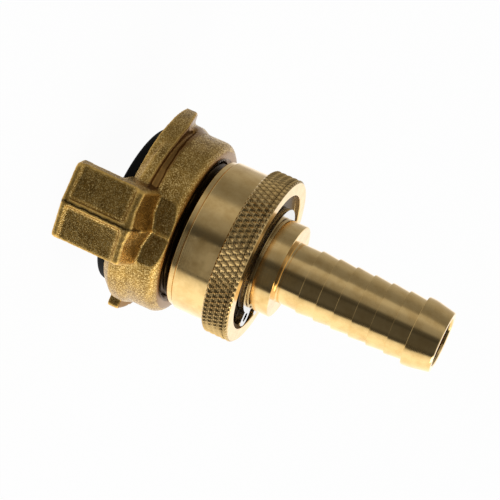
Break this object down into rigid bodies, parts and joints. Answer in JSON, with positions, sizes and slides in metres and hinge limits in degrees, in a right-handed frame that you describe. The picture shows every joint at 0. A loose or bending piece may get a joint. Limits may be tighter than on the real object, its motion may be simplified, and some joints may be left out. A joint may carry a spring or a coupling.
{
  "type": "quarter turn claw hose coupling",
  "caption": "Brass quarter-turn claw coupling with a forged claw head, a knurled locking ring, a rubber face seal and a ribbed hose tail.",
  "frame": {"origin": "on the coupling's axis, in the plane of the two claw tips that it stands on", "axes": "+Z along the axis from the claw tips towards the hose end; the claws lie on -Y and +Y; +X completes the right-handed frame"},
  "size_m": [0.0444, 0.0516, 0.0764],
  "materials": {
    "forged_brass": "forged and shot blasted",
    "turned_brass": "turned, bright",
    "seal_rubber": "moulded, matt",
    "acetal": "natural",
    "spring_steel": "bright spring steel"
  },
  "bodies": {
    "head": {"claw_head": "forged_brass"},
    "carrier": {"slip_washer": "acetal"},
    "tail": {"hose_tail": "turned_brass", "seal_ring": "seal_rubber", "circlip": "spring_steel"},
    "ring": {"lock_ring": "turned_brass"}
  },
  "joints": [
    {"name": "tail_advance", "type": "slide", "parent": "head", "child": "carrier", "axis": [0, 0, -1], "range_m": [-0.0018, 0.0012]},
    {"name": "tail_swivel", "type": "hinge", "parent": "carrier", "child": "tail", "pos_m": [0, 0, 0.026], "axis": [0, 0, -1], "continuous": true},
    {"name": "ring_turn", "type": "hinge", "parent": "carrier", "child": "ring", "pos_m": [0, 0, 0.026], "axis": [0, 0, -1], "range_deg": [-432, 288]}
  ],
  "couplings": [
    {"joint": "tail_advance", "follows": "ring_turn", "m_per_rad": 0.00023873}
  ]
}
